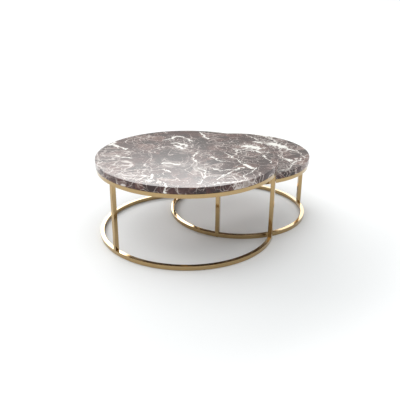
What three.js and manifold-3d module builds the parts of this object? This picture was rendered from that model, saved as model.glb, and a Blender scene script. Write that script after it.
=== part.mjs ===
// A pair of round nesting coffee tables: polished red marble tops on brass-plated square-tube frames.
// The small table slides under the big one through the open side of the big table's floor ring.
// Millimetres, +Z up. The origin is on the floor, under the middle of the pair as it stands pulled out,
// and +X is the way the small table is pulled.
import * as THREE from "three";
import { mergeVertices } from "three/addons/utils/BufferGeometryUtils.js";
import Module from "manifold-3d";

const wasm = await Module();
wasm.setup();

// Overall sizes
const bigTopDiameter = 900;
const smallTopDiameter = 750;
const bigHeight = 400;
const pulledOutBy = 56; // from where the small top would meet the big table's legs to where it stands
const nestClearance = 8.5; // from the small table's top up to the big table's top ring

// Marble tops
const slabThickness = 30;
const slabArris = 1.5; // the small chamfer ground on both rims
const slabOverhang = 3; // how far a top stands out past its ring

// Square tube, and the turns of the legs round each table's axis
const tubeSize = 20;
const tubeWall = 1.5;
const legCount = 3;
const bigLegTurn = 60;
const smallLegTurn = -30.75; // a hand's turn off the big table's own pattern
const ventDiameter = 8; // the hole between a ring's hollow and each leg's hollow
const endPlateThickness = 1.5;

// Fixings under each top
const tabThickness = 3;
const tabWidth = 30;
const tabLength = 40;
const tabCorner = 8;
const screwDiameter = 6;
const screwReach = 11; // how far the screw runs up into its insert
const screwHeadDiameter = 12;
const screwHeadHeight = 4;
const screwHeadFace = 9.6; // across the flat of the pan head, inside its rounded edge
const socketAcross = 4; // across the corners of the hexagon socket
const socketDepth = 2.5;
const screwFromRing = 24; // from the ring's inner wall to the screw's axis
const insertDiameter = 10;
const insertLength = 14;
const padDiameter = 12;
const padThickness = 0.9;
const padCount = 6;

// Push-in glides under the floor rings
const glideDiameter = 16;
const glideHeight = 2; // how far the floor ring stands off the floor
const glideEdge = 0.6;
const glideStemDiameter = 5;
const glideStemLength = 8;
const glidePitch = 60; // degrees from one glide to the next

const contactGap = 0.3; // left between pieces that touch
const throughCut = 1; // how far a cutter runs past the face that it opens

// How finely round shapes are faceted
const slabSides = 96;
const ringSides = 72;
const smallSides = 16;

// Sizes that follow
const seatGap = padThickness + 2 * contactGap;
const screwLength = contactGap + tabThickness + seatGap + contactGap + screwReach;
const smallHeight = bigHeight - slabThickness - seatGap - tubeSize - nestClearance;
const legPitch = 360 / legCount;
const bigTable = { height: bigHeight, topRadius: bigTopDiameter / 2, legTurn: bigLegTurn };
const smallTable = { height: smallHeight, topRadius: smallTopDiameter / 2, legTurn: smallLegTurn };

const marble = new THREE.MeshStandardMaterial({ color: 0x4b2528, roughness: 0.12, metalness: 0 });
const platedBrass = new THREE.MeshStandardMaterial({ color: 0xd8b37e, roughness: 0.14, metalness: 1 });
const rawBrass = new THREE.MeshStandardMaterial({ color: 0xb5904f, roughness: 0.35, metalness: 1 });
const steel = new THREE.MeshStandardMaterial({ color: 0x9a9a98, roughness: 0.35, metalness: 1 });
const silicone = new THREE.MeshStandardMaterial({ color: 0xd9dad6, roughness: 0.5, metalness: 0 });
const nylon = new THREE.MeshStandardMaterial({ color: 0x1d1c1b, roughness: 0.6, metalness: 0 });

const radians = THREE.MathUtils.degToRad;

// How far the small table's axis stands from the big one's. Pushed in, its top would meet the nearest
// corner of the two legs beside the open side, unless it is narrow enough to pass between them.
function axisDistance() {
  const legInner = bigTable.topRadius - slabOverhang - tubeSize;
  const turn = radians(bigTable.legTurn);
  const cornerX = legInner * Math.cos(turn) + (tubeSize / 2) * Math.sin(turn);
  const cornerY = legInner * Math.sin(turn) - (tubeSize / 2) * Math.cos(turn);
  const passes = smallTable.topRadius <= cornerY;
  const nested = passes ? 0 : cornerX + Math.sqrt(smallTable.topRadius ** 2 - cornerY ** 2);
  return nested + pulledOutBy;
}

const pullOut = axisDistance();
const pairLength = bigTable.topRadius + pullOut + smallTable.topRadius;
const bigX = bigTable.topRadius - pairLength / 2;
const smallX = bigX + pullOut;

// The levels and radii that a table's pieces share
function frameOf(table) {
  const slabBottom = table.height - slabThickness;
  const ringTop = slabBottom - seatGap;
  const outer = table.topRadius - slabOverhang;
  return {
    ...table,
    slabBottom,
    ringTop,
    ringBottom: ringTop - tubeSize,
    footTop: glideHeight + tubeSize,
    outer,
    inner: outer - tubeSize,
    tubeRadius: outer - tubeSize / 2,
    screwRadius: outer - tubeSize - screwFromRing,
    legAngles: Array.from({ length: legCount }, (_, i) => table.legTurn + i * legPitch),
    tabAngles: Array.from({ length: legCount }, (_, i) => table.legTurn + (i + 0.5) * legPitch),
  };
}

// Solids for cutting and joining
function toSolid(geometry) {
  const bare = geometry.clone();
  bare.deleteAttribute("normal");
  bare.deleteAttribute("uv");
  const merged = mergeVertices(bare);
  const mesh = new wasm.Mesh({
    numProp: 3,
    vertProperties: merged.attributes.position.array,
    triVerts: new Uint32Array(merged.index.array),
  });
  return new wasm.Manifold(mesh);
}

function toGeometry(solid) {
  const mesh = solid.getMesh();
  const geometry = new THREE.BufferGeometry();
  geometry.setAttribute("position", new THREE.BufferAttribute(mesh.vertProperties, mesh.numProp));
  geometry.setIndex(new THREE.BufferAttribute(mesh.triVerts, 1));
  const flat = geometry.toNonIndexed();
  flat.computeVertexNormals();
  return flat;
}

// A turned shape standing on z = 0, from [radius, z] points that run upwards along its outside
function turned(points, sides) {
  const profile = points.map(([radius, z]) => new THREE.Vector2(radius, z));
  return new THREE.LatheGeometry(profile, sides).rotateX(Math.PI / 2);
}

// An upright rod with its lower end at z
function rod(diameter, z, length, sides) {
  const geometry = new THREE.CylinderGeometry(diameter / 2, diameter / 2, length, sides);
  return geometry.rotateX(Math.PI / 2).translate(0, 0, z + length / 2);
}

// A rod moved out to a radius and angle round the table's axis
function rodAt(diameter, z, length, radius, angle) {
  const x = radius * Math.cos(radians(angle));
  const y = radius * Math.sin(radians(angle));
  return toSolid(rod(diameter, z, length, smallSides).translate(x, y, 0));
}

function extruded(shape, depth, curveSegments) {
  return new THREE.ExtrudeGeometry(shape, { depth, bevelEnabled: false, curveSegments });
}

// A flat closed ring
function ringSolid(outer, inner, depth) {
  const shape = new THREE.Shape();
  shape.absarc(0, 0, outer, 0, 2 * Math.PI, false);
  const middle = new THREE.Path();
  middle.absarc(0, 0, inner, 0, 2 * Math.PI, true);
  shape.holes.push(middle);
  return toSolid(extruded(shape, depth, ringSides / 2));
}

// The part of a flat ring that runs from one angle to another. Its cut ends stand parallel to the
// radius there and reach past it by the overhang.
function arcSolid(outer, inner, depth, from, to, overhang) {
  const past = (radius) => Math.asin(overhang / radius);
  const shape = new THREE.Shape();
  shape.absarc(0, 0, outer, radians(from) - past(outer), radians(to) + past(outer), false);
  shape.absarc(0, 0, inner, radians(to) + past(inner), radians(from) - past(inner), true);
  return toSolid(extruded(shape, depth, ringSides / 2));
}

// A ring of square tube: a solid ring, less the same ring drawn in by the wall on every side
function hollowed(ringMaker, frame) {
  const skin = ringMaker(frame.outer, frame.inner, tubeSize, 0);
  const coreDepth = tubeSize - 2 * tubeWall;
  const core = ringMaker(frame.outer - tubeWall, frame.inner + tubeWall, coreDepth, throughCut);
  return skin.subtract(core.translate(0, 0, tubeWall));
}

// A solid with an upright hole at each of the angles
function drilled(solid, diameter, z, length, radius, angles) {
  return angles.reduce((left, angle) => left.subtract(rodAt(diameter, z, length, radius, angle)), solid);
}

// Adds a named mesh to a table, moved out to a radius and angle round the table's axis
function add(table, name, geometry, material, z = 0, radius = 0, angle = 0) {
  const mesh = new THREE.Mesh(geometry, material);
  mesh.name = name;
  mesh.position.set(radius * Math.cos(radians(angle)), radius * Math.sin(radians(angle)), z);
  mesh.rotation.z = radians(angle);
  table.add(mesh);
}

function addAtAngles(table, name, geometry, material, z, radius, angles) {
  angles.forEach((angle, i) => add(table, `${name}_${i + 1}`, geometry, material, z, radius, angle));
}

// A marble disc with ground rims and a blind hole for each glued-in threaded insert
function slabGeometry(frame) {
  const rim = frame.topRadius - slabArris;
  const disc = turned([
    [0, 0],
    [rim, 0],
    [frame.topRadius, slabArris],
    [frame.topRadius, slabThickness - slabArris],
    [rim, slabThickness],
    [0, slabThickness],
  ], slabSides);
  const holeDiameter = insertDiameter + 2 * contactGap;
  const holeDepth = insertLength + 2 * contactGap;
  const angles = frame.tabAngles;
  const start = -throughCut;
  const cut = drilled(toSolid(disc), holeDiameter, start, holeDepth - start, frame.screwRadius, angles);
  return toGeometry(cut);
}

// The ring under the top, vented into each leg through its underside
function topRingGeometry(frame) {
  const vent = tubeWall + 2 * throughCut;
  const ring = hollowed(ringSolid, frame);
  return toGeometry(drilled(ring, ventDiameter, -throughCut, vent, frame.tubeRadius, frame.legAngles));
}

// A ring on the floor, vented into each leg above it and drilled below for the glides' stems
function floorRingGeometry(ringMaker, frame, glideAngles) {
  const holeLength = tubeWall + 2 * throughCut;
  const stemHole = glideStemDiameter + 2 * contactGap;
  const ventStart = tubeSize - tubeWall - throughCut;
  const ring = hollowed(ringMaker, frame);
  const vented = drilled(ring, ventDiameter, ventStart, holeLength, frame.tubeRadius, frame.legAngles);
  return toGeometry(drilled(vented, stemHole, -throughCut, holeLength, frame.tubeRadius, glideAngles));
}

// A length of square tube, open at both ends, standing between the two rings
function legGeometry(frame) {
  const half = tubeSize / 2;
  const bore = half - tubeWall;
  const corners = (size) => [[-size, -size], [size, -size], [size, size], [-size, size]];
  const shape = new THREE.Shape(corners(half).map(([x, y]) => new THREE.Vector2(x, y)));
  shape.holes.push(new THREE.Path(corners(bore).reverse().map(([x, y]) => new THREE.Vector2(x, y))));
  const length = frame.ringBottom - frame.footTop - 2 * contactGap;
  return extruded(shape, length, 1);
}

// A tab welded to the ring's inner wall, with its rounded end towards the axis and a hole for the screw
function tabGeometry(frame) {
  const facetInner = frame.inner * Math.cos(Math.PI / ringSides);
  const rootRadius = Math.sqrt((facetInner - contactGap) ** 2 - (tabWidth / 2) ** 2);
  const root = rootRadius - frame.screwRadius;
  const tip = root - tabLength;
  const half = tabWidth / 2;
  const shape = new THREE.Shape();
  shape.moveTo(root, -half);
  shape.lineTo(root, half);
  shape.lineTo(tip + tabCorner, half);
  shape.absarc(tip + tabCorner, half - tabCorner, tabCorner, Math.PI / 2, Math.PI, false);
  shape.absarc(tip + tabCorner, tabCorner - half, tabCorner, Math.PI, 1.5 * Math.PI, false);
  shape.closePath();
  const hole = new THREE.Path();
  hole.absarc(0, 0, screwDiameter / 2 + contactGap, 0, 2 * Math.PI, true);
  shape.holes.push(hole);
  return extruded(shape, tabThickness, smallSides / 4);
}

// A pan-head screw, pointing up, with z = 0 at the seat under its head
function screwGeometry() {
  const screw = turned([
    [0, -screwHeadHeight],
    [screwHeadFace / 2, -screwHeadHeight],
    [screwHeadDiameter / 2, -screwHeadHeight / 2],
    [screwHeadDiameter / 2, 0],
    [screwDiameter / 2, 0],
    [screwDiameter / 2, screwLength],
    [0, screwLength],
  ], smallSides);
  const socket = rod(socketAcross, -screwHeadHeight - throughCut, socketDepth + throughCut, 6);
  return toGeometry(toSolid(screw).subtract(toSolid(socket)));
}

// A threaded sleeve glued into the slab
function insertGeometry() {
  const bore = screwDiameter / 2 + contactGap;
  return turned([
    [bore, 0],
    [insertDiameter / 2, 0],
    [insertDiameter / 2, insertLength],
    [bore, insertLength],
    [bore, 0],
  ], smallSides);
}

// A round glide with its stem pushed up into the floor ring
function glideGeometry() {
  const head = glideHeight - contactGap;
  return turned([
    [0, 0],
    [glideDiameter / 2 - glideEdge, 0],
    [glideDiameter / 2, glideEdge],
    [glideDiameter / 2, head],
    [glideStemDiameter / 2, head],
    [glideStemDiameter / 2, head + glideStemLength],
    [0, head + glideStemLength],
  ], smallSides);
}

// The plate that closes each end of the open floor ring, flush with the side of the leg above
function addEndPlates(table, frame, from, to) {
  const plate = new THREE.BoxGeometry(tubeSize, endPlateThickness, tubeSize);
  const aside = (tubeSize - endPlateThickness) / 2;
  [[from, -aside], [to, aside]].forEach(([angle, offset], i) => {
    const geometry = plate.clone().translate(0, offset, tubeSize / 2);
    add(table, `big_ring_end_plate_${i + 1}`, geometry, platedBrass, glideHeight, frame.tubeRadius, angle);
  });
}

// What both tables have: the top, its ring, the legs and the fixings between them
function addUpperPieces(table, name, frame) {
  const padAngles = Array.from({ length: padCount }, (_, i) => frame.legTurn + (i + 0.5) * 360 / padCount);
  const slabSeat = frame.slabBottom + contactGap;
  const screwSeat = frame.ringTop - tabThickness - contactGap;
  const fixings = [frame.screwRadius, frame.tabAngles];
  add(table, `${name}_marble_top`, slabGeometry(frame), marble, frame.slabBottom);
  add(table, `${name}_top_ring`, topRingGeometry(frame), platedBrass, frame.ringBottom);
  const legZ = frame.footTop + contactGap;
  addAtAngles(table, `${name}_leg`, legGeometry(frame), platedBrass, legZ, frame.tubeRadius, frame.legAngles);
  const tabZ = frame.ringTop - tabThickness;
  addAtAngles(table, `${name}_fixing_tab`, tabGeometry(frame), platedBrass, tabZ, ...fixings);
  addAtAngles(table, `${name}_fixing_screw`, screwGeometry(), steel, screwSeat, ...fixings);
  addAtAngles(table, `${name}_threaded_insert`, insertGeometry(), rawBrass, slabSeat, ...fixings);
  const pad = rod(padDiameter, 0, padThickness, smallSides);
  const padZ = frame.ringTop + contactGap;
  addAtAngles(table, `${name}_silicone_pad`, pad, silicone, padZ, frame.tubeRadius, padAngles);
}

function buildBigTable() {
  const table = new THREE.Group();
  const frame = frameOf(bigTable);
  addUpperPieces(table, "big", frame);
  // The floor ring runs the long way round, from the first leg to the last, and is open towards +X
  const from = frame.legAngles[0];
  const to = frame.legAngles[legCount - 1];
  const reach = tubeSize / 2 - endPlateThickness - contactGap;
  const openRing = (outer, inner, depth, extra) => arcSolid(outer, inner, depth, from, to, reach + extra);
  const glides = Math.round((to - from) / glidePitch) + 1;
  const glideAngles = Array.from({ length: glides }, (_, i) => from + i * glidePitch);
  const ring = floorRingGeometry(openRing, frame, glideAngles);
  add(table, "big_floor_ring", ring, platedBrass, glideHeight);
  addEndPlates(table, frame, from, to);
  addAtAngles(table, "big_glide", glideGeometry(), nylon, 0, frame.tubeRadius, glideAngles);
  table.position.x = bigX;
  return table;
}

function buildSmallTable() {
  const table = new THREE.Group();
  const frame = frameOf(smallTable);
  addUpperPieces(table, "small", frame);
  const glides = 360 / glidePitch;
  const glideAngles = Array.from({ length: glides }, (_, i) => frame.legTurn + i * glidePitch);
  const ring = floorRingGeometry(ringSolid, frame, glideAngles);
  add(table, "small_floor_ring", ring, platedBrass, glideHeight);
  addAtAngles(table, "small_glide", glideGeometry(), nylon, 0, frame.tubeRadius, glideAngles);
  table.position.x = smallX;
  return table;
}

const nestingTables = new THREE.Group();
nestingTables.add(buildBigTable());
nestingTables.add(buildSmallTable());

export default nestingTables;
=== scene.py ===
import math

import bmesh
import bpy
from bmesh.types import BMEdge, BMFace, BMVert
from mathutils import Matrix, Vector


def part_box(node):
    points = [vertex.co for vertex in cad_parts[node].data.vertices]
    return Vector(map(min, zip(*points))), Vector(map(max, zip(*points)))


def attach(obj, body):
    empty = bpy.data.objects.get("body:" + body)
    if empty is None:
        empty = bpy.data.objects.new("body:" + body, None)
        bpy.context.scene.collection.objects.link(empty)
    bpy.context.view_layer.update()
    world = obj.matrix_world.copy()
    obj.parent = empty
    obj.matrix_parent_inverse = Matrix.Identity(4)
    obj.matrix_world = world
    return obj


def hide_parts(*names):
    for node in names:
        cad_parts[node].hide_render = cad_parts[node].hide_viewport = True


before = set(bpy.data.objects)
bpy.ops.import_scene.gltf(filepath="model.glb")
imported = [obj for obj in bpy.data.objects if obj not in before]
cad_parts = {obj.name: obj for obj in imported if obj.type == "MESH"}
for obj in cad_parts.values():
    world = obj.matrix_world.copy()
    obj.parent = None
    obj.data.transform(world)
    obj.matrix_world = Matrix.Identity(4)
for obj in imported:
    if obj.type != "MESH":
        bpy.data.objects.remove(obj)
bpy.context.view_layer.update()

mm = 0.001
upAxis = (0, 0, 1)


def middleOf(node):
    low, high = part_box(node)
    return (Vector(low) + Vector(high)) / 2


def sizeOf(node):
    low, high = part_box(node)
    return Vector(high) - Vector(low)


def cosine(degrees):
    return math.cos(math.radians(degrees))


def sine(degrees):
    return math.sin(math.radians(degrees))


bigAxis = middleOf("big_marble_top")


# ---- camera: stands back from the big table's axis, a little above eye level of someone on a sofa

print("camera")
cameraSetup = {
    "out": 2.4987,      # from the big table's axis, over the floor
    "height": 1.2011,
    "round": -129.9,    # where it stands round that axis, degrees from +X
    "heading": 48.61,   # which way it looks, degrees from +X
    "down": 22.68,
    "roll": 0.42,
    "lens": 47.55,      # mm
    "sensor": 36,
    "sees": 200,        # metres
}


def makeCamera(setup):
    data = bpy.data.cameras.new("camera")
    data.sensor_width = setup["sensor"]
    data.lens = setup["lens"]
    data.clip_end = setup["sees"]
    camera = bpy.data.objects.new("camera", data)
    bpy.context.scene.collection.objects.link(camera)
    place = Vector((bigAxis.x, bigAxis.y, setup["height"]))
    place += setup["out"] * Vector((cosine(setup["round"]), sine(setup["round"]), 0))
    turn = Matrix.Rotation(math.radians(setup["heading"] - 90), 4, "Z")
    tilt = Matrix.Rotation(math.radians(90 - setup["down"]), 4, "X")
    roll = Matrix.Rotation(math.radians(setup["roll"]), 4, "Z")
    camera.matrix_world = Matrix.Translation(place) @ turn @ tilt @ roll
    bpy.context.scene.camera = camera


makeCamera(cameraSetup)


# ---- materials

def linear(code):
    # an sRGB hex code as linear red, green, blue and alpha
    parts = [int(code[i:i + 2], 16) / 255 for i in (1, 3, 5)]
    return [p / 12.92 if p <= 0.04045 else ((p + 0.055) / 1.055) ** 2.4 for p in parts] + [1.0]


def addNode(tree, kind, inputs=None, stops=None, **settings):
    # a node with its settings, its inputs as values or links, and a ramp's stops
    made = tree.nodes.new(kind)
    for name, value in settings.items():
        setattr(made, name, value)
    for socket, value in (inputs or {}).items():
        if isinstance(value, bpy.types.NodeSocket):
            tree.links.new(value, made.inputs[socket])
        else:
            made.inputs[socket].default_value = value
    if stops:
        ramp = made.color_ramp
        while len(ramp.elements) < len(stops):
            ramp.elements.new(1.0)
        for element, (place, code) in zip(ramp.elements, stops):
            element.position = place
            element.color = linear(code)
    return made


def nodeMaker(tree):
    # adds to one tree and gives the new node's outputs
    def add(kind, inputs=None, stops=None, **settings):
        return addNode(tree, kind, inputs, stops, **settings).outputs
    return add


def newMaterial(name):
    material = bpy.data.materials.new(name)
    material.use_nodes = True
    tree = material.node_tree
    tree.nodes.clear()
    shader = addNode(tree, "ShaderNodeBsdfPrincipled")
    addNode(tree, "ShaderNodeOutputMaterial", {"Surface": shader.outputs[0]})
    return material, tree, shader


noiseLow, noiseHigh = 0.3, 0.7      # a noise seldom goes past these
grainDetail = 4.0

marbleLook = {
    "turn": (0.5, 0.35, 0.4),       # the block was sawn askew to its veins
    # noises that bend the veins: per metre, detail, reach in metres
    "bends": [(2.6, 3.0, 0.18), (9.0, 3.0, 0.05), (26.0, 3.0, 0.024), (90.0, 2.0, 0.008)],
    "laidBends": [(20.0, 3.0, 0.055), (62.0, 3.0, 0.026)],
    "mottle": (9.0, 10.0, 0.7),     # per metre, detail, roughness
    "lumps": 13.0,                  # broken pieces of the breccia per metre
    "lumpShare": 0.2,               # how much each has a red of its own
    "ground": [(0.34, "#140605"), (0.45, "#2b0f0e"), (0.53, "#3e1d19"), (0.62, "#5f4039"), (0.76, "#a18d82")],
    # veins per metre, patches of them per metre, half width in mm where thin and where wide,
    # and where in a noise they heal over
    "cracks": [(4.2, 5.0, 0.1, 2.8, 0.46, 0.68), (11.0, 9.0, 0.1, 1.8, 0.49, 0.68),
               (26.0, 6.0, 0.0, 1.3, 0.45, 0.62)],
    "swirls": [(3.4, 5.0, 0.1, 2.8, 0.48, 0.68), (9.0, 7.0, 0.1, 2.0, 0.50, 0.68)],
    "hairline": 0.0001,             # no vein is quite without width
    "swirlDetail": 1.0,
    "patchDetail": 4.0,
    "vein": "#c8c0ba",
    "veinFades": (0.05, 0.7),
    "halo": "#8c766e",
    "haloReach": 4.0,               # how many times wider the pink stain is than its vein
    "haloShare": 0.45,
    "clouds": (4.5, 12.0, 0.74),    # per metre, detail, roughness
    "cloud": "#a69e98",
    "cloudFrom": 0.54,
    "cloudTo": 0.74,
    "calcite": "#ebe9e2",
    # how the laid veins swell and break: up to which half width in mm, noise per metre,
    # and how many times narrower they are where most swollen and where thinnest
    "ragged": [(14, 75.0, 0.55, 2.6), (99, 38.0, 0.32, 3.6)],
    "raggedNoise": (8.0, 0.7, 0.32, 0.68),      # detail, roughness, and its lowest and highest value
    "laidFades": (1.15, 0.75),      # in half widths, from nothing to full
    "laidHalo": (3.5, 1.0),
    "polish": 0.05,
    "calcitePolish": 0.09,          # calcite takes the polish a little less than the red stone
    "honed": 0.5,                   # the underside isn't polished: faces that look up less than this
    "underside": -0.9,
    "ior": 1.5,
}

# the strongest veins of each top: half width in mm, and points in metres from the table's axis
laidVeins = {
    "big": [
        (3.5, [(0.166, -0.104), (0.136, -0.205), (0.106, -0.315), (0.107, -0.371)]),
        (3, [(0.117, -0.361), (0.053, -0.378), (-0.012, -0.404), (-0.022, -0.424)]),
        (22, [(0.109, -0.298), (0.100, -0.346)]),
        (9, [(0.069, 0.278), (0.106, 0.272), (0.177, 0.291), (0.181, 0.210), (0.173, 0.166)]),
        (10, [(0.067, 0.206), (0.100, 0.179), (0.093, 0.113)]),
        (24, [(0.057, 0.143), (0.044, 0.086)]),
        (5, [(0.069, -0.002), (0.018, -0.023), (-0.023, -0.071), (-0.034, -0.121)]),
        (4, [(-0.094, -0.183), (-0.092, -0.221), (-0.125, -0.280), (-0.154, -0.305)]),
        (4, [(-0.173, -0.306), (-0.219, -0.346)]),
        (8, [(-0.185, 0.393), (-0.191, 0.328), (-0.183, 0.276)]),
        (20, [(-0.157, 0.418), (-0.199, 0.381)]),
        (6, [(-0.281, 0.207), (-0.263, 0.172), (-0.243, 0.134)]),
        (8, [(-0.170, -0.025), (-0.141, -0.050), (-0.138, -0.091)]),
        (7, [(-0.227, -0.107), (-0.223, -0.146)]),
        (6, [(-0.321, -0.229), (-0.348, -0.284)]),
        (7, [(0.321, 0.279), (0.301, 0.214), (0.260, 0.143)]),
        (4.5, [(-0.339, -0.100), (-0.327, -0.143), (-0.294, -0.121), (-0.366, -0.175)]),
        (4, [(-0.131, -0.358), (-0.064, -0.331), (-0.009, -0.326), (0.023, -0.318)]),
        (5, [(-0.174, -0.375), (-0.127, -0.399), (-0.103, -0.425), (-0.046, -0.427)]),
        (5, [(-0.045, -0.224), (-0.038, -0.284), (0.023, -0.300), (0.068, -0.319)]),
        (5, [(0.072, -0.110), (0.059, -0.160), (0.068, -0.206)]),
        (52, [(0.333, -0.088), (0.343, -0.143)]),
        (24, [(0.423, -0.068), (0.434, -0.101)]),
        (6.5, [(0.294, -0.147), (0.301, -0.196), (0.312, -0.227)]),
        (4, [(0.287, -0.249), (0.255, -0.305), (0.224, -0.358)]),
    ],
    "small": [
        (42, [(0.250, -0.015), (0.258, -0.097)]),
        (30, [(0.344, 0.180), (0.348, 0.119)]),
        (4.5, [(0.277, 0.208), (0.262, 0.136), (0.253, 0.088)]),
        (4.5, [(0.337, 0.101), (0.305, 0.018), (0.255, -0.070)]),
        (10, [(0.252, -0.117), (0.257, -0.170)]),
        (12, [(0.089, -0.255), (0.100, -0.286)]),
        (3.8, [(0.126, -0.154), (0.106, -0.227), (0.100, -0.286)]),
        (3.8, [(-0.017, -0.350), (0.082, -0.313), (0.183, -0.291)]),
        (3.8, [(0.249, -0.211), (0.210, -0.269), (0.195, -0.301)]),
        (3, [(-0.085, -0.340), (-0.052, -0.350), (-0.020, -0.355)]),
    ],
}

# where a top is paler or darker: reach and place in metres from the table's axis, and how much
laidClouds = {
    "big": [(0.27, (-0.10, -0.11), 0.065), (0.17, (-0.33, 0.16), 0.04), (0.16, (0.20, 0.15), -0.04),
            (0.15, (0.04, 0.05), 0.08)],
    "small": [(0.22, (0.28, 0.05), 0.05)],
}


def bent(add, point, rows):
    # noises push the point about, so that straight veins are drawn out into wavy ones
    for scale, detail, reach in rows:
        push = add("ShaderNodeTexNoise", {"Vector": point, "Scale": scale, "Detail": detail})["Color"]
        push = add("ShaderNodeVectorMath", {0: push, 1: (0.5, 0.5, 0.5)}, operation="SUBTRACT")[0]
        push = add("ShaderNodeVectorMath", {0: push, "Scale": reach}, operation="SCALE")[0]
        point = add("ShaderNodeVectorMath", {0: point, 1: push}, operation="ADD")[0]
    return point


def fineVeins(add, rock, look):
    # straight-sided cracks, and swirls along the level lines of a noise, each with a wider stain
    veins = halo = 0.0
    kinds = [(row, True) for row in look["cracks"]] + [(row, False) for row in look["swirls"]]
    for (scale, patches, thin, thick, low, high), isCrack in kinds:
        if isCrack:
            edge = {"Vector": rock, "Scale": scale}
            edge = add("ShaderNodeTexVoronoi", edge, feature="DISTANCE_TO_EDGE")[0]
        else:
            level = {"Vector": rock, "Scale": scale, "Detail": look["swirlDetail"]}
            level = add("ShaderNodeTexNoise", level)[0]
            level = add("ShaderNodeMath", {0: level, 1: 0.5}, operation="SUBTRACT")[0]
            edge = add("ShaderNodeMath", {0: level}, operation="ABSOLUTE")[0]
        healed = {"Vector": rock, "Scale": patches, "Detail": look["patchDetail"]}
        healed = add("ShaderNodeTexNoise", healed)[0]
        reach = {0: healed, 1: low, 2: high, 3: 0.0, 4: thick * mm * scale}
        reach = add("ShaderNodeMapRange", reach)[0]
        reach = add("ShaderNodeMath", {0: reach, 1: thin * mm * scale + look["hairline"]}, operation="ADD")[0]
        line = add("ShaderNodeMapRange", {0: edge, 1: 0.0, 2: reach, 3: 1.0, 4: 0.0})[0]
        wide = add("ShaderNodeMath", {0: reach, 1: look["haloReach"]}, operation="MULTIPLY")[0]
        stain = add("ShaderNodeMapRange", {0: edge, 1: 0.0, 2: wide, 3: 1.0, 4: 0.0})[0]
        veins = add("ShaderNodeMath", {0: veins, 1: line}, operation="MAXIMUM")[0]
        halo = add("ShaderNodeMath", {0: halo, 1: stain}, operation="MAXIMUM")[0]
    return veins, halo


def gapToLine(add, point, start, end, halfWidth):
    # how many half widths the point is away from a straight stretch of vein
    run = end - start
    away = add("ShaderNodeVectorMath", {0: point, 1: start}, operation="SUBTRACT")[0]
    along = {0: away, 1: run / run.length_squared}
    along = add("ShaderNodeVectorMath", along, operation="DOT_PRODUCT")["Value"]
    share = add("ShaderNodeMath", {0: along, 1: 0.0}, operation="ADD", use_clamp=True)[0]
    foot = add("ShaderNodeVectorMath", {0: run, "Scale": share}, operation="SCALE")[0]
    gap = add("ShaderNodeVectorMath", {0: away, 1: foot}, operation="DISTANCE")["Value"]
    return add("ShaderNodeMath", {0: gap, 1: halfWidth * mm}, operation="DIVIDE")[0]


def strongVeins(add, place, look, laid, axis):
    # how many of their own ragged half widths away the nearest laid vein is
    flat = bent(add, place, look["laidBends"])
    flat = add("ShaderNodeVectorMath", {0: flat, 1: (1, 1, 0)}, operation="MULTIPLY")[0]
    detail, roughness, lowest, highest = look["raggedNoise"]
    nearest = farAway = 1000.0
    narrower = 0
    for upTo, scale, swollen, thinnest in look["ragged"]:
        rag = {"Vector": place, "Scale": scale, "Detail": detail, "Roughness": roughness}
        rag = add("ShaderNodeTexNoise", rag)[0]
        rag = add("ShaderNodeMapRange", {0: rag, 1: lowest, 2: highest, 3: swollen, 4: thinnest})[0]
        group = farAway
        for halfWidth, points in laid:
            if narrower < halfWidth <= upTo:
                corners = [Vector((axis.x + x, axis.y + y, 0)) for x, y in points]
                for start, end in zip(corners, corners[1:]):
                    gap = gapToLine(add, flat, start, end, halfWidth)
                    group = add("ShaderNodeMath", {0: group, 1: gap}, operation="MINIMUM")[0]
        narrower = upTo
        group = add("ShaderNodeMath", {0: group, 1: rag}, operation="MULTIPLY")[0]
        nearest = add("ShaderNodeMath", {0: nearest, 1: group}, operation="MINIMUM")[0]
    return nearest


def paleClouds(add, rock, place, look, clouds, axis):
    # where the calcite has spread through the stone
    scale, detail, roughness = look["clouds"]
    spread = {"Vector": rock, "Scale": scale, "Detail": detail, "Roughness": roughness}
    spread = add("ShaderNodeTexNoise", spread)[0]
    for reach, (x, y), more in clouds:
        centre = Vector((axis.x + x, axis.y + y, axis.z))
        away = add("ShaderNodeVectorMath", {0: place, 1: centre}, operation="DISTANCE")["Value"]
        more = {0: away, 1: 0.0, 2: reach, 3: more, 4: 0.0}
        more = add("ShaderNodeMapRange", more, interpolation_type="SMOOTHSTEP")[0]
        spread = add("ShaderNodeMath", {0: spread, 1: more}, operation="ADD")[0]
    cloud = {0: spread, 1: look["cloudFrom"], 2: look["cloudTo"]}
    return add("ShaderNodeMapRange", cloud, interpolation_type="SMOOTHSTEP")[0]


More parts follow.
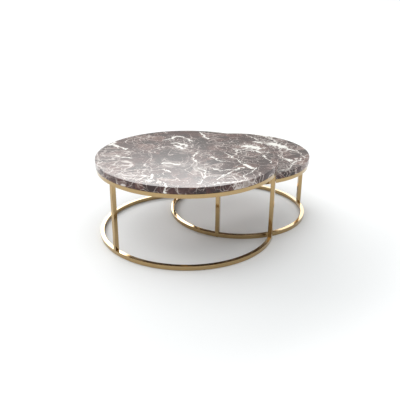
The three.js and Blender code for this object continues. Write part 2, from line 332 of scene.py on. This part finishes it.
def redMarble(table, look, laid, clouds):
    # wine-red marble, sawn and polished: a breccia healed with white calcite, glossy and flat
    material, tree, shader = newMaterial(f"red_marble_polished_{table}")
    add = nodeMaker(tree)

    def blend(share, under, over):      # a colour mix: its colours are sockets 6 and 7
        return add("ShaderNodeMix", {0: share, 6: under, 7: over}, data_type="RGBA")[2]

    axis = middleOf(f"{table}_marble_top")
    place = add("ShaderNodeTexCoord")["Object"]
    rock = add("ShaderNodeMapping", {"Vector": place, "Rotation": look["turn"]})[0]
    rock = bent(add, rock, look["bends"])

    # broken pieces, each of its own red, with a mottle inside them
    scale, detail, roughness = look["mottle"]
    tone = {"Vector": rock, "Scale": scale, "Detail": detail, "Roughness": roughness}
    tone = add("ShaderNodeTexNoise", tone)[0]
    lump = add("ShaderNodeTexVoronoi", {"Vector": rock, "Scale": look["lumps"]}, feature="F1")["Color"]
    lump = add("ShaderNodeSeparateColor", {0: lump})[0]
    ground = add("ShaderNodeMix", {0: look["lumpShare"], 2: tone, 3: lump}, data_type="FLOAT")[0]
    colour = add("ShaderNodeValToRGB", {0: ground}, look["ground"])[0]

    veins, halo = fineVeins(add, rock, look)
    nearest = strongVeins(add, place, look, laid, axis)
    none, full = look["laidFades"]
    calcite = add("ShaderNodeMapRange", {0: nearest, 1: none, 2: full})[0]
    none, full = look["laidHalo"]
    stain = add("ShaderNodeMapRange", {0: nearest, 1: none, 2: full}, interpolation_type="SMOOTHSTEP")[0]
    halo = add("ShaderNodeMath", {0: halo, 1: stain}, operation="MAXIMUM")[0]
    halo = add("ShaderNodeMath", {0: halo, 1: look["haloShare"]}, operation="MULTIPLY")[0]
    cloud = paleClouds(add, rock, place, look, clouds, axis)
    none, full = look["veinFades"]
    pale = add("ShaderNodeMapRange", {0: veins, 1: none, 2: full})[0]
    fine = blend(stain, linear(look["vein"]), linear(look["calcite"]))     # whiter beside a strong vein

    colour = blend(halo, colour, linear(look["halo"]))
    colour = blend(cloud, colour, linear(look["cloud"]))
    colour = blend(pale, colour, fine)
    colour = blend(calcite, colour, linear(look["calcite"]))
    tree.links.new(colour, shader.inputs["Base Color"])

    upward = add("ShaderNodeSeparateXYZ", {0: add("ShaderNodeNewGeometry")["True Normal"]})["Z"]
    under = add("ShaderNodeMath", {0: upward, 1: look["underside"]}, operation="LESS_THAN")[0]
    gloss = add("ShaderNodeMapRange", {0: calcite, 3: look["polish"], 4: look["calcitePolish"]})[0]
    gloss = add("ShaderNodeMix", {0: under, 2: gloss, 3: look["honed"]}, data_type="FLOAT")[0]
    tree.links.new(gloss, shader.inputs["Roughness"])
    shader.inputs["IOR"].default_value = look["ior"]
    return material


brassLook = {
    "code": "#ae9367",
    "roughness": 0.10,
    "hazeScale": 60.0,      # soft patches of 15 mm left by the polishing mop
    "hazeDetail": 5.0,
    "hazeGloss": (0.75, 1.3),       # how they change the roughness and the colour
    "hazeTint": (0.96, 1.03),
    "waveScale": 35.0,      # the tube's faces are flat only to the eye: 30 mm waves
    "waveDetail": 1.0,
    "waveHeight": 0.02 * mm,
    "lacquer": 0.5,         # a thin clear coat: it whitens the brightest reflections
    "lacquerRoughness": 0.04,
}


def brassPlate(look):
    # brass plated on polished steel tube and lacquered: a gold mirror with a faint haze and slow waves
    material, tree, shader = newMaterial("plated_brass_polished")
    add = nodeMaker(tree)
    place = add("ShaderNodeTexCoord")["Object"]
    haze = {"Vector": place, "Scale": look["hazeScale"], "Detail": look["hazeDetail"]}
    haze = add("ShaderNodeTexNoise", haze)[0]
    least, most = [share * look["roughness"] for share in look["hazeGloss"]]
    spread = add("ShaderNodeMapRange", {0: haze, 1: noiseLow, 2: noiseHigh, 3: least, 4: most})[0]
    tree.links.new(spread, shader.inputs["Roughness"])
    wave = {"Vector": place, "Scale": look["waveScale"], "Detail": look["waveDetail"]}
    wave = add("ShaderNodeTexNoise", wave)[0]
    bump = add("ShaderNodeBump", {"Height": wave, "Strength": 1.0, "Distance": look["waveHeight"]})[0]
    tree.links.new(bump, shader.inputs["Normal"])
    least, most = look["hazeTint"]
    tint = add("ShaderNodeMapRange", {0: haze, 1: noiseLow, 2: noiseHigh, 3: least, 4: most})[0]
    colour = add("ShaderNodeVectorMath", {0: linear(look["code"])[:3], "Scale": tint}, operation="SCALE")[0]
    tree.links.new(colour, shader.inputs["Base Color"])
    shader.inputs["Metallic"].default_value = 1.0
    shader.inputs["Coat Weight"].default_value = look["lacquer"]
    shader.inputs["Coat Roughness"].default_value = look["lacquerRoughness"]
    return material


def smallPartMaterial(name, look):
    # a material with fine grain: a noise at the grain's size varies its colour and gloss and roughens it
    material, tree, shader = newMaterial(name)
    add = nodeMaker(tree)
    place = add("ShaderNodeTexCoord")["Object"]
    place = add("ShaderNodeMapping", {"Vector": place, "Scale": look["stretch"]})[0]
    grain = {"Vector": place, "Scale": 1 / look["grain"], "Detail": grainDetail}
    grain = add("ShaderNodeTexNoise", grain)[0]
    colour = add("ShaderNodeValToRGB", {0: grain}, [(noiseLow, look["dark"]), (noiseHigh, look["light"])])[0]
    tree.links.new(colour, shader.inputs["Base Color"])
    smoothest, roughest = look["roughness"]
    rough = {0: grain, 1: noiseLow, 2: noiseHigh, 3: smoothest, 4: roughest}
    rough = add("ShaderNodeMapRange", rough)[0]
    tree.links.new(rough, shader.inputs["Roughness"])
    bump = add("ShaderNodeBump", {"Height": grain, "Strength": 1.0, "Distance": look["height"]})[0]
    tree.links.new(bump, shader.inputs["Normal"])
    shader.inputs["Metallic"].default_value = look.get("metallic", 0.0)
    shader.inputs["Transmission Weight"].default_value = look.get("clear", 0.0)
    shader.inputs["IOR"].default_value = look.get("ior", 1.5)
    return material


# free-cutting brass, turned: tool marks run round it, so its grain is drawn out sideways
turnedLook = {"dark": "#a88a4c", "light": "#cdb06c", "grain": 0.6 * mm, "stretch": (0.3, 0.3, 1.0),
              "roughness": (0.22, 0.36), "height": 0.01 * mm, "metallic": 1.0}
# zinc-plated steel: a cool, slightly cloudy silver
zincLook = {"dark": "#9d9fa0", "light": "#c4c4c0", "grain": 1.5 * mm, "stretch": (1.0, 1.0, 1.0),
            "roughness": (0.24, 0.38), "height": 0.005 * mm, "metallic": 1.0}
# cast silicone rubber: milky, clear and faintly orange-peeled
siliconeLook = {"dark": "#dcdedb", "light": "#eeefec", "grain": 0.8 * mm, "stretch": (1.0, 1.0, 1.0),
                "roughness": (0.3, 0.45), "height": 0.02 * mm, "clear": 0.6, "ior": 1.41}
# injection-moulded nylon, spark-eroded finish: a dark fine-grained plastic scuffed by floors
nylonLook = {"dark": "#141312", "light": "#2a2826", "grain": 0.5 * mm, "stretch": (1.0, 1.0, 1.0),
             "roughness": (0.45, 0.65), "height": 0.03 * mm, "ior": 1.53}
# studio background paper: white, matt, with a felt side
paperLook = {"dark": "#eeeeed", "light": "#f1f1f0", "grain": 3.0 * mm, "stretch": (1.0, 1.0, 1.0),
             "roughness": (0.85, 0.95), "height": 0.02 * mm}

print("materials")
marble = {table: redMarble(table, marbleLook, laidVeins[table], laidClouds[table]) for table in laidVeins}
platedBrass = brassPlate(brassLook)
turnedBrass = smallPartMaterial("brass_turned", turnedLook)
zincSteel = smallPartMaterial("zinc_plated_steel", zincLook)
silicone = smallPartMaterial("silicone_rubber_cast", siliconeLook)
nylon = smallPartMaterial("nylon_moulded_black", nylonLook)
paper = smallPartMaterial("studio_paper_white", paperLook)


# ---- making pieces

joinWithin = 0.001 * mm
levelWithin = 0.1 * mm
sharpAngle = 1.2        # radians: a corner, not a facet of a curve


def only(kind, geom):
    return [part for part in geom if isinstance(part, kind)]


def edgesOf(verts):
    return list({e for v in verts for e in v.link_edges})


def isLevel(edge):
    return abs(edge.verts[0].co.z - edge.verts[1].co.z) < levelWithin


def isSharp(edge):
    return len(edge.link_faces) == 2 and edge.calc_face_angle() > sharpAngle


def bevel(bm, geom, width, segments, affect="EDGES"):
    bmesh.ops.bevel(bm, geom=geom, offset=width, offset_type="OFFSET", affect=affect,
                    segments=segments, profile=0.5, material=-1)


def raiseWall(bm, ring, height):
    # a ring of edges goes straight up and is closed at its upper end
    made = bmesh.ops.extrude_edge_only(bm, edges=ring)["geom"]
    bmesh.ops.translate(bm, verts=only(BMVert, made), vec=(0, 0, height))
    bmesh.ops.contextual_create(bm, geom=only(BMEdge, made))


def spinRound(bm, geom, steps):
    bmesh.ops.spin(bm, geom=geom, axis=upAxis, cent=(0, 0, 0), angle=math.radians(360),
                   steps=steps, use_merge=True)


def standAt(bm, place, turn=0.0):
    bmesh.ops.rotate(bm, verts=bm.verts, matrix=Matrix.Rotation(turn, 3, "Z"))
    bmesh.ops.translate(bm, verts=bm.verts, vec=place)


def objectFrom(bm, name, material):
    mesh = bpy.data.meshes.new(name)
    bm.to_mesh(mesh)
    bm.free()
    mesh.materials.append(material)
    made = bpy.data.objects.new(name, mesh)
    bpy.context.scene.collection.objects.link(made)
    return made


def finishPiece(bm, name, material, body, nodes):
    # a bmesh becomes a smooth-shaded piece that rides on its table
    bmesh.ops.remove_doubles(bm, verts=bm.verts, dist=joinWithin)
    bmesh.ops.recalc_face_normals(bm, faces=bm.faces)
    for face in bm.faces:
        face.smooth = True
    piece = objectFrom(bm, name, material)
    weighted = piece.modifiers.new("flat faces stay flat", "WEIGHTED_NORMAL")
    weighted.weight = 100
    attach(piece, body)
    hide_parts(*nodes)


# ---- marble tops

slabLook = {
    "sides": 256,
    "arris": 1.5 * mm,      # ground and polished by hand along both rims
    "arrisSteps": 3,
    "holeSides": 32,
    "holeRadius": 5.3 * mm,     # round the threaded inserts
    "holeDepth": 14.6 * mm,
}


def makeSlab(table, look):
    name = f"{table}_marble_top"
    centre = middleOf(name)
    size = sizeOf(name)
    bottom = centre.z - size.z / 2
    bm = bmesh.new()
    bmesh.ops.create_circle(bm, segments=look["sides"], radius=size.x / 2)
    edges = list(bm.edges)
    holes = []
    for i in (1, 2, 3):
        insert = middleOf(f"{table}_threaded_insert_{i}") - centre
        hole = bmesh.ops.create_circle(bm, segments=look["holeSides"], radius=look["holeRadius"],
                                       matrix=Matrix.Translation((insert.x, insert.y, 0)))["verts"]
        holes.append(edgesOf(hole))
        edges += holes[-1]
    bmesh.ops.triangle_fill(bm, use_beauty=True, edges=edges)
    for ring in holes:      # blind holes go up into the stone
        raiseWall(bm, ring, look["holeDepth"])
    raiseWall(bm, [e for e in bm.edges if e.is_boundary], size.z)
    rimRadius = size.x / 2 - look["arris"]
    rims = [e for e in bm.edges if isLevel(e) and all(v.co.xy.length > rimRadius for v in e.verts)]
    bevel(bm, rims, look["arris"], look["arrisSteps"])
    bmesh.ops.translate(bm, verts=bm.verts, vec=(centre.x, centre.y, bottom))
    finishPiece(bm, f"{table}_marble_slab", marble[table], f"{table}_table", [name])


# ---- square tube: rings and legs

tubeLook = {
    "corner": 1.6 * mm,     # outside corner radius of drawn 20 mm tube
    "cornerSteps": 4,
    "ringSteps": 288,
    "endShort": 1.0 * mm,   # the open ring's tube stops this short of the middle of its end plates
    "cutWithin": 0.0001 * mm,
}


def tubeSection(bm, size, look):
    # a rounded square outline standing in the XZ plane
    square = bmesh.ops.create_grid(bm, x_segments=1, y_segments=1, size=size / 2)["verts"]
    bevel(bm, square, look["corner"], look["cornerSteps"], "VERTICES")
    bmesh.ops.delete(bm, geom=list(bm.faces), context="FACES_ONLY")
    bmesh.ops.rotate(bm, verts=bm.verts, matrix=Matrix.Rotation(math.radians(90), 3, "X"))


def makeRing(table, level, look):
    name = f"{table}_{level}_ring"
    axis = middleOf(f"{table}_marble_top")
    size = sizeOf(f"{table}_top_ring")
    centre = middleOf(name)
    tube = size.z
    bm = bmesh.new()
    tubeSection(bm, tube, look)
    bmesh.ops.translate(bm, verts=bm.verts, vec=(size.x / 2 - tube / 2, 0, 0))
    spinRound(bm, list(bm.verts) + list(bm.edges), look["ringSteps"])
    if (table, level) == ("big", "floor"):
        openRing(bm, axis, look)
    bmesh.ops.translate(bm, verts=bm.verts, vec=(axis.x, axis.y, centre.z))
    finishPiece(bm, f"{table}_{level}_ring_tube", platedBrass, f"{table}_table", [name])


def openRing(bm, axis, look):
    # the side that the small table comes in through is left out, cut square beside each end's leg
    reach = []
    for leg, side in (("big_leg_1", -1), ("big_leg_3", 1)):
        out = middleOf(leg) - axis
        along = Vector((out.x, out.y, 0)).normalized()
        across = Vector((-along.y, along.x, 0)) * side
        reach.append((along, across))
    plate = middleOf("big_ring_end_plate_1") - axis
    inside = abs(Vector((plate.x, plate.y, 0)).dot(reach[0][1])) - look["endShort"]
    for along, across in reach:
        bmesh.ops.bisect_plane(bm, geom=list(bm.verts) + list(bm.edges) + list(bm.faces),
                               dist=look["cutWithin"], plane_co=across * inside, plane_no=across)
    gone = []
    for face in bm.faces:
        middle = face.calc_center_median()
        if all(middle.dot(across) > inside for _, across in reach) or (
                middle.x > 0 and any(middle.dot(across) > inside and middle.dot(along) > 0
                                     for along, across in reach)):
            gone.append(face)
    bmesh.ops.delete(bm, geom=gone, context="FACES")
    bmesh.ops.holes_fill(bm, edges=[e for e in bm.edges if e.is_boundary], sides=0)


legLook = {
    "corner": tubeLook["corner"],
    "cornerSteps": tubeLook["cornerSteps"],
    "seam": 0.3 * mm,       # how far a leg runs on to meet the ring it is welded to
}


def makeLeg(table, number, look):
    name = f"{table}_leg_{number}"
    axis = middleOf(f"{table}_marble_top")
    centre = middleOf(name)
    tube = sizeOf(f"{table}_top_ring").z
    height = sizeOf(name).z + 2 * look["seam"]
    bm = bmesh.new()
    bmesh.ops.create_cube(bm, size=1)
    bmesh.ops.scale(bm, verts=bm.verts, vec=(tube, tube, height))
    bevel(bm, [e for e in bm.edges if not isLevel(e)], look["corner"], look["cornerSteps"])
    standAt(bm, centre, math.atan2(centre.y - axis.y, centre.x - axis.x))
    finishPiece(bm, f"{table}_leg_tube_{number}", platedBrass, f"{table}_table", [name])


print("marble tops")
for table in ("big", "small"):
    makeSlab(table, slabLook)

print("rings and legs")
for table in ("big", "small"):
    for level in ("top", "floor"):
        makeRing(table, level, tubeLook)
    for number in (1, 2, 3):
        makeLeg(table, number, legLook)


# ---- fixings and feet, each set by the box of the CAD piece that it stands for

def drawLine(bm, points):
    # points of (radius, height) joined up, standing in the XZ plane
    verts = [bm.verts.new((radius, 0, height)) for radius, height in points]
    return verts + [bm.edges.new(pair) for pair in zip(verts, verts[1:])]


def footOf(node):
    # the middle of a CAD piece's underside, and its height
    low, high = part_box(node)
    middle = middleOf(node)
    return (middle.x, middle.y, low[2]), high[2] - low[2]


def turnAbout(table, node):
    # the angle of a piece's middle round its table's axis
    out = middleOf(node) - middleOf(f"{table}_marble_top")
    return math.atan2(out.y, out.x)


tabLook = {
    "thickness": 3.0 * mm,
    "width": 30.0 * mm,
    "length": 40.0 * mm,
    "seam": 0.3 * mm,       # how far it stops short of the ring it is welded to
    "corner": 8.0 * mm,
    "cornerSteps": 8,
    "edge": 0.4 * mm,       # deburred
    "edgeSteps": 2,
    "hole": 3.3 * mm,       # radius
    "holeSides": 32,
    "beadRadius": 1.9 * mm,
    "beadShare": 0.97,      # of the tab's width
    "beadSides": 12,
    "beadSteps": 60,
    "beadRipples": 15,      # one for each dip of the filler rod
    "beadRipple": 0.07,
}


def makeTab(table, number, look):
    name = f"{table}_fixing_tab_{number}"
    axis = middleOf(f"{table}_marble_top")
    ringInner = sizeOf(f"{table}_top_ring").x / 2 - sizeOf(f"{table}_top_ring").z
    half = look["width"] / 2
    root = math.sqrt(ringInner ** 2 - half ** 2) - look["seam"]
    screw = middleOf(f"{table}_fixing_screw_{number}") - axis
    bm = bmesh.new()
    plate = bmesh.ops.create_grid(bm, x_segments=1, y_segments=1, size=0.5)["verts"]
    bmesh.ops.scale(bm, verts=plate, vec=(look["length"], look["width"], 1))
    bmesh.ops.translate(bm, verts=plate, vec=(root - look["length"] / 2, 0, 0))
    tip = [v for v in plate if v.co.x < root - look["length"] / 2]
    bevel(bm, tip, look["corner"], look["cornerSteps"], "VERTICES")
    bmesh.ops.delete(bm, geom=list(bm.faces), context="FACES_ONLY")
    bmesh.ops.create_circle(bm, segments=look["holeSides"], radius=look["hole"],
                            matrix=Matrix.Translation((screw.xy.length, 0, 0)))
    flat = bmesh.ops.triangle_fill(bm, use_beauty=True, edges=list(bm.edges))["geom"]
    lifted = bmesh.ops.extrude_face_region(bm, geom=only(BMFace, flat), use_keep_orig=True)["geom"]
    bmesh.ops.translate(bm, verts=only(BMVert, lifted), vec=(0, 0, look["thickness"]))
    bmesh.ops.recalc_face_normals(bm, faces=bm.faces)
    rims = [e for e in bm.edges if isSharp(e) and isLevel(e)]
    bevel(bm, rims, look["edge"], look["edgeSteps"])
    # the weld runs along the tab's root, underneath, in the corner with the ring
    bead = bmesh.ops.create_uvsphere(bm, u_segments=look["beadSides"], v_segments=look["beadSteps"],
                                     radius=1)["verts"]
    bmesh.ops.rotate(bm, verts=bead, matrix=Matrix.Rotation(math.radians(90), 3, "X"))
    for v in bead:
        swell = 1 + look["beadRipple"] * math.sin(v.co.y * look["beadRipples"] * math.pi)
        v.co.x *= swell
        v.co.z *= swell
    bmesh.ops.scale(bm, verts=bead, vec=(look["beadRadius"], half * look["beadShare"], look["beadRadius"]))
    bmesh.ops.translate(bm, verts=bead, vec=(root, 0, 0))
    foot, _ = footOf(name)
    standAt(bm, (axis.x, axis.y, foot[2]), turnAbout(table, name))
    finishPiece(bm, f"{table}_welded_tab_{number}", platedBrass, f"{table}_table", [name])


screwLook = {
    "headRadius": 6.0 * mm,
    "headHeight": 4.0 * mm,
    "faceRadius": 4.4 * mm,
    "domeShare": 0.75,      # of the head's height
    "domeSteps": 4,
    "underRadius": 5.9 * mm,
    "underEdge": 0.2 * mm,
    "socketRadius": 2.3 * mm,   # to its corners
    "socketDepth": 2.5 * mm,
    "steps": 48,
    "threadRadius": 3.0 * mm,
    "threadRoot": 2.45 * mm,
    "threadSteps": 24,
    "pitch": 1.0 * mm,
    "sunk": 0.4 * mm,       # how deep in the head the thread starts
}


def makeScrew(table, number, look):
    name = f"{table}_fixing_screw_{number}"
    foot, height = footOf(name)
    head = look["headHeight"]
    bm = bmesh.new()
    # the head hangs under the tab, so it is made from its flat face upwards
    socket = edgesOf(bmesh.ops.create_circle(bm, segments=6, radius=look["socketRadius"])["verts"])
    rim = edgesOf(bmesh.ops.create_circle(bm, segments=look["steps"], radius=look["faceRadius"])["verts"])
    bmesh.ops.triangle_fill(bm, use_beauty=True, edges=socket + rim)
    raiseWall(bm, socket, look["socketDepth"])
    levels = []
    for i in range(1, look["domeSteps"] + 1):
        angle = 90 * i / look["domeSteps"]
        levels.append((look["faceRadius"] + (look["headRadius"] - look["faceRadius"]) * sine(angle),
                       head * look["domeShare"] * (1 - cosine(angle))))
    levels += [(look["headRadius"], head - look["underEdge"]), (look["underRadius"], head),
               (look["threadRoot"], head)]
    radius, z = look["faceRadius"], 0.0
    for newRadius, newZ in levels:
        made = bmesh.ops.extrude_edge_only(bm, edges=rim)["geom"]
        rim = only(BMEdge, made)
        bmesh.ops.scale(bm, verts=only(BMVert, made), vec=(newRadius / radius, newRadius / radius, 1))
        bmesh.ops.translate(bm, verts=only(BMVert, made), vec=(0, 0, newZ - z))
        radius, z = newRadius, newZ
    bmesh.ops.contextual_create(bm, geom=rim)
    # the thread is a zigzag wound round by one pitch, so each turn closes on the next
    turns = int((height - head) / look["pitch"]) - 1
    zigzag = []
    for i in range(turns + 1):
        start = head - look["sunk"] + i * look["pitch"]
        zigzag += [(look["threadRoot"], start), (look["threadRadius"], start + look["pitch"] / 2)]
    zigzag.pop()
    bmesh.ops.spin(bm, geom=drawLine(bm, zigzag), axis=upAxis, cent=(0, 0, 0), angle=math.radians(360),
                   dvec=(0, 0, look["pitch"] / look["threadSteps"]), steps=look["threadSteps"],
                   use_merge=False)
    bmesh.ops.remove_doubles(bm, verts=bm.verts, dist=joinWithin)
    bmesh.ops.holes_fill(bm, edges=[e for e in bm.edges if e.is_boundary], sides=0)
    standAt(bm, foot, turnAbout(table, name))
    finishPiece(bm, f"{table}_socket_screw_{number}", zincSteel, f"{table}_table", [name])


insertLook = {
    "radius": 5.0 * mm,
    "bore": 3.3 * mm,
    "chamfer": 0.5 * mm,
    "groove": 0.6 * mm,     # deep, for the glue to key into
    "grooves": (0.3, 0.5, 0.7),     # shares of its height
    "grooveWidth": 0.8 * mm,
    "grooveFlare": 1.6,     # how many times wider at its mouth
    "steps": 48,
}


def makeInsert(table, number, look):
    name = f"{table}_threaded_insert_{number}"
    foot, height = footOf(name)
    radius, bore, chamfer = look["radius"], look["bore"], look["chamfer"]
    floor = radius - look["groove"]
    half = look["grooveWidth"] / 2
    mouth = half * look["grooveFlare"]
    outline = [(bore + chamfer, 0), (radius - chamfer, 0), (radius, chamfer)]
    for share in look["grooves"]:
        middle = share * height
        outline += [(radius, middle - mouth), (floor, middle - half), (floor, middle + half),
                    (radius, middle + mouth)]
    outline += [(radius, height - chamfer), (radius - chamfer, height), (bore + chamfer, height),
                (bore, height - chamfer), (bore, chamfer), (bore + chamfer, 0)]
    bm = bmesh.new()
    spinRound(bm, drawLine(bm, outline), look["steps"])
    standAt(bm, foot)
    finishPiece(bm, f"{table}_grooved_insert_{number}", turnedBrass, f"{table}_table", [name])


def roundedCorner(radius, z, edge, outwards, steps=3):
    # points round a turned shape's edge, from below to beside it or from beside it to above
    start = -90 if outwards else 0
    angles = [start + 90 * i / steps for i in range(steps + 1)]
    return [(radius - edge + edge * cosine(a), z + edge * sine(a)) for a in angles]


padLook = {
    "radius": 6.0 * mm,
    "edge": 0.3 * mm,
    "steps": 48,
}


def makePad(table, number, look):
    name = f"{table}_silicone_pad_{number}"
    foot, height = footOf(name)
    edge = look["edge"]
    outline = [(0, 0)] + roundedCorner(look["radius"], edge, edge, True)
    outline += roundedCorner(look["radius"], height - edge, edge, False) + [(0, height)]
    bm = bmesh.new()
    spinRound(bm, drawLine(bm, outline), look["steps"])
    standAt(bm, foot)
    finishPiece(bm, f"{table}_bumper_pad_{number}", silicone, f"{table}_table", [name])


glideLook = {
    "radius": 8.0 * mm,
    "headHeight": 1.7 * mm,
    "edge": 0.7 * mm,
    "upperEdge": 0.2 * mm,
    "dish": 0.25 * mm,          # its sole is hollowed so that it slides on a ring
    "dishShare": 0.6,           # of its radius
    "ringShare": 1.5,           # how many edges in from its side that ring lies
    "stemRadius": 2.5 * mm,
    "stemTip": 1.0 * mm,        # left plain above the barbs
    "barb": 0.3 * mm,           # how far the stem's ribs stand out, flattened by the hole
    "barbs": 4,
    "barbShape": (0.4, 0.5, 0.98),      # where in its pitch each starts, is widest and ends
    "taper": 3,                 # how many barbs narrower the stem's end is
    "steps": 48,
}


def makeGlide(table, number, look):
    name = f"{table}_glide_{number}"
    foot, height = footOf(name)
    radius, head, stem, edge = look["radius"], look["headHeight"], look["stemRadius"], look["edge"]
    upper = look["upperEdge"]
    core = stem - look["barb"]
    outline = [(0, look["dish"]), (radius * look["dishShare"], look["dish"]),
               (radius - edge * look["ringShare"], 0)]
    outline += roundedCorner(radius, edge, edge, True)
    outline += roundedCorner(radius, head - upper, upper, False, 2)
    outline += [(core, head)]
    pitch = (height - head - look["stemTip"]) / look["barbs"]
    start, widest, end = look["barbShape"]
    for i in range(look["barbs"]):
        z = head + i * pitch
        outline += [(core, z + pitch * start), (stem, z + pitch * widest), (core, z + pitch * end)]
    outline += [(stem - look["barb"] * look["taper"], height), (0, height)]
    bm = bmesh.new()
    spinRound(bm, drawLine(bm, outline), look["steps"])
    standAt(bm, foot)
    finishPiece(bm, f"{table}_floor_glide_{number}", nylon, f"{table}_table", [name])


plateLook = {
    "thickness": 1.5 * mm,
    "corner": tubeLook["corner"],       # ground round with the tube
    "cornerSteps": tubeLook["cornerSteps"],
    "edge": 0.35 * mm,
    "edgeSteps": 2,
}


def makeEndPlate(number, leg, look):
    name = f"big_ring_end_plate_{number}"
    tube = sizeOf("big_top_ring").z
    bm = bmesh.new()
    bmesh.ops.create_cube(bm, size=1)
    bmesh.ops.scale(bm, verts=bm.verts, vec=(tube, look["thickness"], tube))
    short = [e for e in bm.edges if abs(e.verts[0].co.y - e.verts[1].co.y) > look["thickness"] / 2]
    bevel(bm, short, look["corner"], look["cornerSteps"])
    bevel(bm, [e for e in bm.edges if isSharp(e)], look["edge"], look["edgeSteps"])
    standAt(bm, middleOf(name), turnAbout("big", leg))
    finishPiece(bm, f"big_ring_end_cap_{number}", platedBrass, "big_table", [name])


print("fixings and feet")
padCount = 6
glideCounts = {"big": 5, "small": 6}        # the open ring has one fewer
for table, glideCount in glideCounts.items():
    for number in (1, 2, 3):
        makeTab(table, number, tabLook)
        makeScrew(table, number, screwLook)
        makeInsert(table, number, insertLook)
    for number in range(1, padCount + 1):
        makePad(table, number, padLook)
    for number in range(1, glideCount + 1):
        makeGlide(table, number, glideLook)
for number, leg in ((1, "big_leg_1"), (2, "big_leg_3")):
    makeEndPlate(number, leg, plateLook)


# ---- floor and studio

studioLook = {
    "floorSize": 60.0,
    # soft boxes: azimuth from +X, half width, how gradually the sides fall off, and the heights between
    # which the light comes up and dies away, in degrees; then its strength
    "boxes": [
        (165, 60, 20, (40, 52), (74, 85), 0.75),        # a high fill on the left
        (228, 45, 15, (13, 19), (31, 38), 0.5),         # a low one behind the camera, for the legs
        (85, 38, 4, (14.5, 34), (32, 37), 8.5),         # the big one, behind and to the left
        (32, 16, 4, (19.5, 21.5), (25.5, 28), 2.5),     # a small one, behind and to the right
    ],
    # the room by height above the horizon, as the sine of the angle
    "room": [(0.0, "#d0d2d4"), (0.17, "#d0d2d4"), (0.25, "#9b9996"), (0.29, "#bbb9b6"), (0.35, "#d9d7d4"),
             (0.44, "#949493"), (0.5, "#5f6366"), (0.65, "#7f8387"), (0.8, "#ced3d6"), (1.0, "#ffffff")],
    "roomLight": 1.56,
}


def makeFloor(look):
    bm = bmesh.new()
    bmesh.ops.create_grid(bm, x_segments=1, y_segments=1, size=look["floorSize"] / 2)
    floor = objectFrom(bm, "floor", paper)


def makeStudio(look):
    # a white room with soft boxes, seen by the polished faces
    world = bpy.data.worlds.new("studio")
    bpy.context.scene.world = world
    world.use_nodes = True
    tree = world.node_tree
    tree.nodes.clear()
    add = nodeMaker(tree)
    way = add("ShaderNodeTexCoord")["Generated"]
    height = add("ShaderNodeSeparateXYZ", {0: way})["Z"]
    room = add("ShaderNodeValToRGB", {0: height}, look["room"])[0]
    total = add("ShaderNodeVectorMath", {0: room, "Scale": look["roomLight"]}, operation="SCALE")[0]
    level = add("ShaderNodeVectorMath", {0: way, 1: (1, 1, 0)}, operation="MULTIPLY")[0]
    level = add("ShaderNodeVectorMath", {0: level}, operation="NORMALIZE")[0]
    for azimuth, wide, side, (low, full), (end, gone), light in look["boxes"]:
        aim = (cosine(azimuth), sine(azimuth), 0)
        across = add("ShaderNodeVectorMath", {0: level, 1: aim}, operation="DOT_PRODUCT")["Value"]
        fades = [(across, cosine(wide + side), cosine(wide - side)), (height, sine(low), sine(full)),
                 (height, sine(gone), sine(end))]
        box = (light, light, light)
        for value, dark, bright in fades:
            part = {0: value, 1: dark, 2: bright}
            part = add("ShaderNodeMapRange", part, interpolation_type="SMOOTHSTEP")[0]
            box = add("ShaderNodeVectorMath", {0: box, "Scale": part}, operation="SCALE")[0]
        total = add("ShaderNodeVectorMath", {0: total, 1: box}, operation="ADD")[0]
    back = add("ShaderNodeBackground", {"Color": total})[0]
    add("ShaderNodeOutputWorld", {"Surface": back})


print("floor and studio")
makeFloor(studioLook)
makeStudio(studioLook)
bpy.context.scene.view_settings.view_transform = "Standard"
